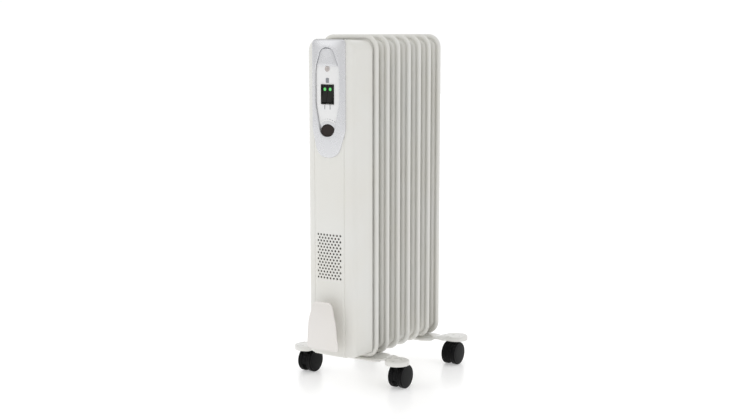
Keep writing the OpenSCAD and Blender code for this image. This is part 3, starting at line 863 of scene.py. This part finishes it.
def bezel_shape(rise):
    """Pillow between the U and the oval, with a rounded outer edge, a proud inner lip and a hook over the top."""
    outer, oval = evenly(bezel_outline(), RIM_STEPS), evenly(oval_outline(), RIM_STEPS)
    round_in, round_up, lip = 0.0036, 0.0028, 0.0012
    rings = [(shrunk(outer, 0.003), -0.0012), (outer, -0.0012), (outer, 0.0004)]
    for t in range(15, 91, 15):
        turn = math.radians(t)
        rings.append((shrunk(outer, round_in * (1 - math.cos(turn))), 0.0004 + round_up * math.sin(turn)))
    start, end = shrunk(outer, round_in), shrunk(oval, -lip)
    base = 0.0004 + round_up
    for k in range(1, 9):
        share = k / 9
        ring = [a.lerp(b, share) for a, b in zip(start, end)]
        rings.append((ring, base + (rise - base) * math.sin(share * math.pi / 2)))
    for t in range(0, 91, 18):
        turn = math.radians(t)
        rings.append((shrunk(oval, -lip * (1 - math.sin(turn))), rise - lip * (1 - math.cos(turn))))
    rings += [(oval, 0.0019), (shrunk(oval, -lip), 0.0019), (shrunk(outer, 0.003), 0.0015)]
    pillow = loft([[on_panel(p.x, p.y, height) for p in ring] for ring, height in rings], along=True)
    flat = BEZEL_HIGH.x - 0.008
    front, back = PANEL_FRONT + 0.0006, BEZEL_HIGH.y
    corners = [(-flat, front), (flat, front), (flat, back), (-flat, back)]
    plate = rounded(corners, [0.001, 0.001, 0.006, 0.006], 6)
    top = BEZEL_HIGH.z
    hook = slab(plate, -0.0013, 0, 0.0005, lambda u, v, d: Vector((u, v, top + d)))
    return joined(pillow, hook)


def cap_shape(rise):
    """Domed cap that fills the top of the oval, with a flat step along its lower edge."""
    outline = shrunk(oval_outline(), 0.0002)
    rows, across = 26, 24
    base = 0.0013
    top = OVAL_HIGH - 0.0003
    rings = []
    for j in range(rows + 1):
        share = math.sin(j / rows * math.pi / 2)
        z = CREST_LOW + (top - CREST_LOW) * share
        half = max(half_width(outline, z), 0.0004)
        edge = min(1.0, (top - z) / 0.003 + 0.15)
        ring = []
        for i in range(across + 1):
            u = -1 + 2 * i / across
            u = math.sin(u * math.pi / 2)
            dome = math.sqrt(max(1 - u * u, 0))
            height = base + (rise - base) * edge * (0.42 * min(1, dome * 3) + 0.58 * dome)
            if j == 0:
                height = base + (height - base) * 0.88
            ring.append(on_panel(u * half, z, height))
        ring += [on_panel(u * half, z, base) for u in (0.6, 0, -0.6)]
        rings.append(ring)
    return capped(rings)


def settled(obj):
    """Bends a flat print onto the crowned panel."""
    for vert in obj.data.vertices:
        vert.co.y += panel_y(vert.co.x) - PANEL_FRONT
    return obj


def print_pad(x, z, wide, tall, front):
    """A thin printed patch, softly rounded."""
    outline = rounded(
        [(x - wide / 2, z - tall / 2), (x + wide / 2, z - tall / 2), (x + wide / 2, z + tall / 2),
         (x - wide / 2, z + tall / 2)], [min(wide, tall) * 0.2] * 4, 3,
    )
    rings = [[Vector((p.x, y, p.y)) for p in outline] for y in (front + 0.00025, front)]
    return capped(rings)


def domed_lens(node_name, deep):
    """Round lens with a domed front, so deep from front to back."""
    low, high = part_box(node_name)
    radius = (high.x - low.x) / 2
    centre = (low + high) / 2
    profile = [(low.y - centre.y + deep, radius)] + [
        (low.y - centre.y + 0.0007 - 0.0007 * v, radius * u) for u, v in arc((0, 0), 1, 0, 88, 7)
    ]
    return turned(profile, centre, steps=32)


def dial_shape():
    """Thermostat dial: dished face, rounded rim and a stub that takes the shaft."""
    low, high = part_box("thermostat_dial")
    axis = middle("thermostat_shaft")
    radius = (high.x - low.x) / 2 - 0.0004
    deep = high.y - low.y
    profile = [(deep, 0.0004), (deep, 0.0065), (deep - 0.004, 0.0065), (deep - 0.004, radius - 0.0008)]
    profile += [(deep - 0.0048, radius)]
    profile += [(0.0024 - 0.0018 * v, radius - 0.0022 + 0.0022 * u) for u, v in arc((0, 0), 1, 0, 78, 6)]
    profile += [(0.0003, radius * 0.72), (0.0001, radius * 0.5), (0.0, 0.0004)]
    return turned(profile, (axis.x, low.y, axis.z), steps=96)


def grip():
    """One rounded grip of the dial's rim, standing on the X-Z plane."""
    rings = []
    for y, half in ((0.0, 0.0002), (0.0006, 0.00045), (0.0045, 0.00045)):
        corners = ((-1, -0.0006), (1, -0.0006), (0.55, 0.0004), (-0.55, 0.0004))
        rings.append([Vector((x * half, y, z)) for x, z in corners])
    return capped(rings)


# ---------------------------------------------------------------- cord winder

WINDER_LOW, WINDER_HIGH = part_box("winder_plate")


def winder_outline():
    """Front outline of the winder plate, wider at its foot."""
    tall = WINDER_HIGH.z - WINDER_LOW.z
    half = [(0.0346, WINDER_LOW.z), (0.0298, WINDER_LOW.z + 0.6 * tall), (0.0198, WINDER_HIGH.z)]
    return twin(half, [0.007, 0.09, 0.011], 12)


def winder_shape(thick):
    """Bowed plate with a full round edge and a low raised rim."""
    outline = winder_outline()
    bow = 0.387
    centre = (WINDER_LOW.z + WINDER_HIGH.z) / 2
    levels = sorted({p.y for p in evenly(outline, 240) if p.x >= 0})
    rings = []
    for z in levels:
        half = max(half_width(outline, z), 0.0005)
        face = WINDER_LOW.y + bow - math.sqrt(bow**2 - (z - centre) ** 2)
        near = min(z - WINDER_LOW.z, WINDER_HIGH.z - z)
        fade = math.sqrt(max(1 - max(0, 1 - near / (thick / 2)) ** 2, 0.02))
        ring = []
        for i in range(33):
            u = math.sin((-1 + i / 16) * math.pi / 2)
            inset = min(half * (1 - abs(u)), near)
            roll = 1 - math.sqrt(max(1 - max(0, 1 - inset / (thick / 2)) ** 2, 0))
            sink = 0.0005 * min(1, max(0, (inset - 0.0016) / 0.0016))
            ring.append(Vector((u * half, face + thick / 2 * roll + sink, z)))
        for i in range(32, -1, -1):
            u = math.sin((-1 + i / 16) * math.pi / 2)
            inset = min(half * (1 - abs(u)), near)
            roll = 1 - math.sqrt(max(1 - max(0, 1 - inset / (thick / 2)) ** 2, 0))
            ring.append(Vector((u * half, face + thick - thick / 2 * roll + (0.00001 if fade else 0), z)))
        rings.append(ring)
    return capped(rings)


# ---------------------------------------------------------------- feet

FOOT_WALL = 0.0022
BULB = 0.0225


def smooth_step(value, start, end):
    """Rises smoothly from 0 to 1 between start and end."""
    t = min(max((value - start) / (end - start), 0), 1)
    return t * t * (3 - 2 * t)


def foot_reach(x, caster_x):
    """Front and back edge of a foot's plan at a distance from the middle, measured from its bulbs' centre line."""
    front = -0.009 + 0.0115 * smooth_step(x, 0.046, 0.084)
    back = 0.045 - 0.0165 * smooth_step(x, 0.046, 0.082) - 0.009 * smooth_step(x, 0.082, 0.106)
    inside = BULB**2 - (x - caster_x) ** 2
    if inside > 0:
        disc = math.sqrt(inside)
        if x > caster_x:
            return -disc, disc
        ease = smooth_step(x, caster_x - BULB, caster_x)
        return min(front, -disc), max(back, disc) + (disc - max(back, disc)) * ease
    return front, back


def foot_shape(node_name):
    """Cross plate with raised round ends and a turned-down skirt, open below."""
    low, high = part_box(node_name)
    caster_x = high.x - BULB
    rear = low.y > FIRST_FIN + PITCH
    turn = -1 if rear else 1
    line = high.y - BULB if rear else low.y + BULB
    plate_top = FIN_LOW.z - 0.0003
    soft = 0.0026
    places = [caster_x * k / 40 for k in range(41)]
    places += [caster_x + BULB * math.sin(math.radians(t)) for t in range(6, 90, 6)] + [high.x - 0.00002]
    rings = []
    for x in [-v for v in reversed(places[1:])] + places:
        front, back = foot_reach(abs(x), caster_x)
        lift = smooth_step(abs(x), 0.062, 0.082)
        top = plate_top + (high.z - plate_top) * lift
        skirt = low.z + 0.0022 * (1 - smooth_step(abs(x), 0.078, 0.086))
        half, mid = (back - front) / 2, (front + back) / 2
        edge = min(soft, half)
        fall = eased(soft, max(high.x - abs(x), 0)) * 1.0
        section = [(-half, skirt)]
        section += [(-half + edge * (1 - math.cos(math.radians(t))),
                     top - fall - soft + soft * math.sin(math.radians(t)))
                    for t in range(0, 91, 18)]
        section += [((edge - half) * (1 - k / 4) + (half - edge) * k / 4, top - fall) for k in range(1, 4)]
        section += [(half - edge * (1 - math.cos(math.radians(t))),
                     top - fall - soft + soft * math.sin(math.radians(t)))
                    for t in range(90, -1, -18)]
        section += [(half, skirt)]
        rings.append([Vector((x, line + turn * (mid + v), z)) for v, z in section])
    return loft(rings, around=False)


def foot_bosses(node_name):
    """Bosses under a foot that take the caster stems and the hook bolts."""
    low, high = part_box(node_name)
    rear = low.y > FIRST_FIN + PITCH
    line = high.y - BULB if rear else low.y + BULB
    bolt_y = line + (-1 if rear else 1) * PITCH / 2
    bolts = size("hook_bolts").x / 2 - 0.0025
    shapes = []
    for x, y, outer, bore, tall in (
        (high.x - BULB, line, 0.008, 0.00352, 0.0068), (bolts, bolt_y, 0.007, 0.0028, 0.004),
    ):
        for side in (-1, 1):
            profile = [(0, bore), (0, outer - 0.0004), (0.0004, outer), (tall, outer + 0.0006), (tall, bore)]
            shapes.append(turned(profile, (side * x, y, low.z), "Z", 36, hollow=True))
    return joined(*shapes)


# ---------------------------------------------------------------- casters


def wheel_shape(node_name, outward):
    """Caster wheel: rounded tread, a fine ridge and a domed disc, with a blind bore for the axle."""
    low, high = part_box(node_name)
    centre = (low + high) / 2
    deep, radius = high.x - low.x, (high.z - low.z) / 2
    start = low.x if outward > 0 else high.x
    profile = [(0.0087, 0.0003), (0.0087, 0.00205), (0, 0.00205), (0, 0.0078), (0.002, 0.0082), (0.002, 0.0155)]
    profile += [(0, 0.0162)] + [
        (0.0014 - 0.0014 * v, radius - 0.0014 + 0.0014 * u) for u, v in arc((0, 0), 1, 90, 0, 4)
    ]
    profile += [(0.0044, radius), (0.0046, radius - 0.0003), (0.0049, radius)]
    profile += [(deep - 0.0026 + 0.0022 * v, radius - 0.0026 + 0.0026 * u) for u, v in arc((0, 0), 1, 0, 90, 6)]
    profile += [(deep - 0.0008, radius - 0.0033), (deep - 0.0008, radius - 0.0039)]
    profile += [(deep - 0.0008 + 0.0008 * math.sqrt(1 - s * s), (radius - 0.0042) * s) for s in
                (0.995, 0.97, 0.93, 0.87, 0.78, 0.66, 0.5, 0.33, 0.16, 0.02)]
    profile = [(outward * u, v) for u, v in profile]
    return turned(profile, (start, centre.y, centre.z), "X", 72)


# ---------------------------------------------------------------- operators


def merged(name, objects):
    """Joins objects into one of that name."""
    with bpy.context.temp_override(active_object=objects[0], selected_editable_objects=objects):
        bpy.ops.object.join()
    objects[0].name = objects[0].data.name = name
    return objects[0]


def checked(*made):
    """Ends an operator, or raises an error when a piece came out empty."""
    for obj in made:
        if not obj.data.polygons:
            raise RuntimeError(f"{obj.name} came out empty")
    return {"FINISHED"}


class HEATER_OT_finishes(bpy.types.Operator):
    """Makes the finishes and gives them to the CAD nodes"""

    bl_idname = "heater.finishes"
    bl_label = "Finishes"

    def execute(self, context):
        finishes()
        for name, obj in frame["nodes"].items():
            if not obj.material_slots:
                obj.data.materials.append(None)
            for slot in obj.material_slots:
                slot.material = finish(SLOT_OF[name])
        return checked(*frame["nodes"].values())


class HEATER_OT_fins(bpy.types.Operator):
    """Builds the seven pressed fins and the header tubes between them"""

    bl_idname = "heater.fins"
    bl_label = "Fins and headers"

    def execute(self, context):
        fins = context.scene.heater_fins
        row = row_tree()
        enamel = finish("fin_enamel")
        first, step = (0, FIRST_FIN, 0), (0, PITCH, 0)
        levels = (FIN_LOW.z + HEADER_INSET, FIN_HIGH.z - HEADER_INSET)
        blank = solid("fin_blank", fin_blank(fins))
        parts = [grown("fin_row", row, Part=blank, Material=enamel, Count=FIN_COUNT, Start=first, Step=step)]
        bpy.data.objects.remove(blank)
        for level in levels:
            tube = solid("header_tube", header(fins, level, PITCH, True))
            parts.append(grown(
                "header_row", row, Part=tube, Material=enamel, Count=FIN_COUNT - 1, Start=first, Step=step
            ))
            bpy.data.objects.remove(tube)
        parts.append(solid("header_ends", header_ends(fins, levels)))
        stack = merged("fin_stack", parts)
        dress(stack, "fin_enamel", "heater", *[f"fin_{i + 1}" for i in range(FIN_COUNT)])
        return checked(stack)


class HEATER_OT_housing(bpy.types.Operator):
    """Builds the control housing's shell with its vent field"""

    bl_idname = "heater.housing"
    bl_label = "Control housing"

    def execute(self, context):
        housing = context.scene.heater_housing
        cover = solid("housing_shell", cover_shell(housing))
        wall = cover.modifiers.new("Wall", "SOLIDIFY")
        wall.thickness, wall.offset, wall.use_even_offset = housing.wall, 1, False
        flattened(cover)
        rod = [(-0.005, housing.vent_radius), (0.007, housing.vent_radius)]
        hole = solid("vent_hole", turned(rod, (0, 0, 0), steps=20))
        vent = grown(
            "vent_field", staggered_tree(), Part=hole, Material=finish("cover_enamel"), Columns=VENT_COUNT,
            Rows=VENT_COUNT, Across=VENT_ACROSS, Up=VENT_UP, Centre=(0, PANEL_FRONT, VENT_Z),
        )
        cutters = merged("cutters", [vent, solid("openings", cover_cutters())])
        cut = cover.modifiers.new("Openings", "BOOLEAN")
        cut.object, cut.operation, cut.solver = cutters, "DIFFERENCE", "EXACT"
        flattened(cover, cutters, hole)
        smooth(cover, 32)
        dress(cover, "cover_enamel", "heater", "front_cover")
        return checked(cover)


class HEATER_OT_trim(bpy.types.Operator):
    """Builds the silver bezel, the domed cap and the printed marks"""

    bl_idname = "heater.trim"
    bl_label = "Control panel trim"

    def execute(self, context):
        trim = context.scene.heater_trim
        bezel = dress(solid("bezel", bezel_shape(trim.bezel_rise), 40), "silver_trim", "heater", "control_bezel")
        cap = dress(solid("crest_dome", cap_shape(trim.cap_rise), 40), "silver_trim", "heater", "crest_cap")
        front = PANEL_FRONT - trim.plate_rise - 0.00015
        switch, dial = middle("rocker_pin"), middle("thermostat_shaft")
        pads = [print_pad(0, switch.z + 0.0245, 0.0068, 0.009, front)]
        pads += [print_pad(x, switch.z - 0.0225, 0.0014, 0.008, front) for x in (-0.006, 0.0055)]
        tick = solid("tick", print_pad(0, 0, 0.0024, 0.0008, 0))
        fan = grown(
            "scale_ticks", fan_tree(), Part=tick, Material=finish("print_grey"), Count=9, Radius=0.0262,
            Centre=(0, front, dial.z), First=math.radians(-46), Step=math.radians(11.5), Small=0.55, Growth=0.09,
        )
        marks = settled(merged("panel_marks", [solid("pads", joined(*pads)), fan]))
        bpy.data.objects.remove(tick)
        dress(marks, "print_grey", "heater")
        return checked(bezel, cap, marks)


class HEATER_OT_switch(bpy.types.Operator):
    """Builds the rocker switch with its two rockers and green lenses"""

    bl_idname = "heater.switch"
    bl_label = "Rocker switch"

    def execute(self, context):
        made = []
        for side in ("left", "right"):
            key = f"rocker_{side}"
            made.append(dress(softened(key, f"rocker_key_{side}", 0.0006, 20, 3), "black_gloss", key, key))
            source = f"rocker_lens_{side}"
            lens = solid(f"green_lens_{side}", domed_lens(source, size(source).y))
            made.append(dress(lens, "green_lens", key, f"rocker_lens_{side}"))
        return checked(*made)


class HEATER_OT_dial(bpy.types.Operator):
    """Builds the thermostat dial with its gripped rim"""

    bl_idname = "heater.dial"
    bl_label = "Thermostat dial"

    def execute(self, context):
        low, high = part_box("thermostat_dial")
        axis = middle("thermostat_shaft")
        rib = solid("grip", grip())
        ribs = grown(
            "grips", fan_tree(), Part=rib, Material=finish("dial_black"), Count=60,
            Radius=(high.x - low.x) / 2 - 0.0005,
            Centre=(0, low.y + 0.0022, axis.z), First=0.0, Step=math.radians(6), Small=1.0, Growth=0.0,
        )
        bpy.data.objects.remove(rib)
        dial = merged("dial_knob", [solid("dial_body", dial_shape()), ribs])
        return checked(dress(dial, "dial_black", "dial", "thermostat_dial"))


class HEATER_OT_winder(bpy.types.Operator):
    """Builds the cord winder's bowed plate and its stem"""

    bl_idname = "heater.winder"
    bl_label = "Cord winder"

    def execute(self, context):
        trim = context.scene.heater_trim
        plate = dress(solid("winder_face", winder_shape(trim.winder), 50), "pearl_plastic", "heater", "winder_plate")
        stem = dress(softened("winder_stem", "winder_neck", 0.0006), "pearl_plastic", "heater", "winder_stem")
        return checked(plate, stem)


class HEATER_OT_feet(bpy.types.Operator):
    """Builds the two cross feet"""

    bl_idname = "heater.feet"
    bl_label = "Feet"

    def execute(self, context):
        made = []
        for end in ("front", "rear"):
            shell = solid(f"foot_shell_{end}", foot_shape(f"foot_{end}"), 50)
            wall = shell.modifiers.new("Wall", "SOLIDIFY")
            wall.thickness, wall.offset = FOOT_WALL, -1
            flattened(shell)
            bosses = solid("bosses", foot_bosses(f"foot_{end}"))
            shell = merged(f"foot_shell_{end}", [shell, bosses])
            smooth(shell, 40)
            made.append(dress(shell, "foot_white", "heater", f"foot_{end}"))
        return checked(*made)


class HEATER_OT_casters(bpy.types.Operator):
    """Builds the four swivel casters: hoods and domed twin wheels"""

    bl_idname = "heater.casters"
    bl_label = "Casters"

    def execute(self, context):
        made = []
        for corner in CORNERS:
            hood = f"caster_hood_{corner}"
            cover = softened(hood, f"hood_{corner}", 0.0007, 25, 3)
            made.append(dress(cover, "caster_black", f"caster_{corner}", hood))
            for side in "ab":
                wheel = f"wheel_{corner}_{side}"
                outward = 1 if middle(wheel).x > middle(hood).x else -1
                disc = solid(f"disc_{corner}_{side}", wheel_shape(wheel, outward), 45)
                made.append(dress(disc, "caster_black", wheel, wheel))
        return checked(*made)


class HEATER_OT_hardware(bpy.types.Operator):
    """Rounds the edges of the visible fittings: gland, filler plug, wing nuts and lamp lens"""

    bl_idname = "heater.hardware"
    bl_label = "Fittings"

    def execute(self, context):
        made = []
        for key, name, width in (
            ("cable_gland", "gland_body", 0.0005), ("oil_filler_plug", "filler_plug", 0.0005),
            ("wing_nuts", "wing_nut_set", 0.0005), ("header_caps", "header_cap_set", 0.0005),
        ):
            made.append(dress(softened(key, name, width), SLOT_OF[key], "heater", key))
        lamp = solid("lamp_window", domed_lens("lamp_lens", 0.0016))
        made.append(dress(lamp, SLOT_OF["lamp_lens"], "heater", "lamp_lens"))
        return checked(*made)


class HEATER_OT_stage(bpy.types.Operator):
    """Sets the pale floor, the soft lights and the camera"""

    bl_idname = "heater.stage"
    bl_label = "Stage"

    def execute(self, context):
        outline = rounded([(-9, -9), (9, -9), (9, 9), (-9, 9)], [1] * 4, 8)
        floor = solid("floor", slab(outline, -0.02, 0, 0.001,
                                    lambda u, v, d: Vector((u, v, d))))
        floor.data.materials.append(surface(
            "floor_paint", (0.93, 0.93, 0.93), EVEN, (0.24, 0.28), 40, 1e-5,
            Emission_Color=(1, 1, 1, 1), Emission_Strength=0.32))
        self.light("key_light", (-1.7, -2.6, 1.9), 2.2, 9)
        self.light("side_light", (2.6, 0.4, 1.4), 2.4, 2)
        self.light("top_light", (0.1, 0.2, 3.0), 2.4, 6)
        world = bpy.data.worlds.new("Studio")
        context.scene.world = world
        world.use_nodes = True
        tree = world.node_tree
        backdrop = tree.nodes["Background"]
        backdrop.inputs["Color"].default_value = (1, 1, 1, 1)
        way = tree.nodes.new("ShaderNodeTexCoord")
        facing = tree.nodes.new("ShaderNodeVectorMath")
        facing.operation = "DOT_PRODUCT"
        facing.inputs[1].default_value = (-0.54, 0.83, -0.14)
        glow = node(tree, "ShaderNodeMapRange", From_Min=0.3, From_Max=0.84, To_Min=0.74, To_Max=1.03)
        wire(
            tree,
            (way.outputs["Generated"], facing.inputs[0]),
            (facing.outputs["Value"], glow.inputs["Value"]),
            (glow.outputs["Result"], backdrop.inputs["Strength"]),
        )
        context.scene.view_settings.view_transform = "Standard"
        self.camera(context)
        return checked(floor)

    def light(self, name, place, across, power):
        """A square soft light aimed at the middle of the heater."""
        lamp = bpy.data.lights.new(name, "AREA")
        lamp.size, lamp.energy = across, power
        obj = bpy.data.objects.new(name, lamp)
        bpy.context.scene.collection.objects.link(obj)
        obj.location = place
        aim = (CAD_BOX[0] + CAD_BOX[1]) / 2 - Vector(place)
        obj.rotation_euler = aim.to_track_quat("-Z", "Y").to_euler()

    def camera(self, context):
        """A camera turned to the right of the front and looking slightly down."""
        data = bpy.data.cameras.new("camera")
        data.sensor_width, data.lens = 36, CAMERA_LENS
        camera = bpy.data.objects.new("camera", data)
        context.scene.collection.objects.link(camera)
        camera.location = CAMERA_PLACE
        camera.rotation_euler = Euler((math.radians(90 - CAMERA_PITCH), 0, math.radians(CAMERA_AZIMUTH)))
        context.scene.camera = camera


CAMERA_PLACE = (1.2526, -1.9014, 0.6470)
CAMERA_AZIMUTH = 33.26
CAMERA_PITCH = 8.365
CAMERA_LENS = 58.65


class HEATER_PT_panel(bpy.types.Panel):
    """Sizes, colours and building steps of the heater"""

    bl_idname = "HEATER_PT_panel"
    bl_label = "Radiator Heater"
    bl_space_type = "VIEW_3D"
    bl_region_type = "UI"
    bl_category = "Heater"

    def draw(self, context):
        for group in settings():
            for name in group.bl_rna.properties.keys():
                if name not in ("rna_type", "name"):
                    self.layout.prop(group, name)
        for step in STEPS:
            self.layout.operator(step.bl_idname)


GROUPS = {
    "heater_fins": HeaterFinSettings,
    "heater_housing": HeaterHousingSettings,
    "heater_trim": HeaterTrimSettings,
    "heater_colours": HeaterColours,
}
STEPS = (
    HEATER_OT_finishes, HEATER_OT_stage, HEATER_OT_fins, HEATER_OT_housing, HEATER_OT_trim, HEATER_OT_switch,
    HEATER_OT_dial, HEATER_OT_winder, HEATER_OT_feet, HEATER_OT_casters, HEATER_OT_hardware,
)


def register():
    """Registers the settings, the operators and the panel."""
    for name, group in GROUPS.items():
        bpy.utils.register_class(group)
        setattr(bpy.types.Scene, name, bpy.props.PointerProperty(type=group))
    for made in (*STEPS, HEATER_PT_panel):
        bpy.utils.register_class(made)


def unregister():
    """Takes them back out."""
    for made in (HEATER_PT_panel, *reversed(STEPS)):
        bpy.utils.unregister_class(made)
    for name, group in GROUPS.items():
        delattr(bpy.types.Scene, name)
        bpy.utils.unregister_class(group)


def main():
    """Builds every piece in order."""
    register()
    for step in STEPS:
        family, name = step.bl_idname.split(".")
        getattr(getattr(bpy.ops, family), name)()


if __name__ == "__main__":
    main()
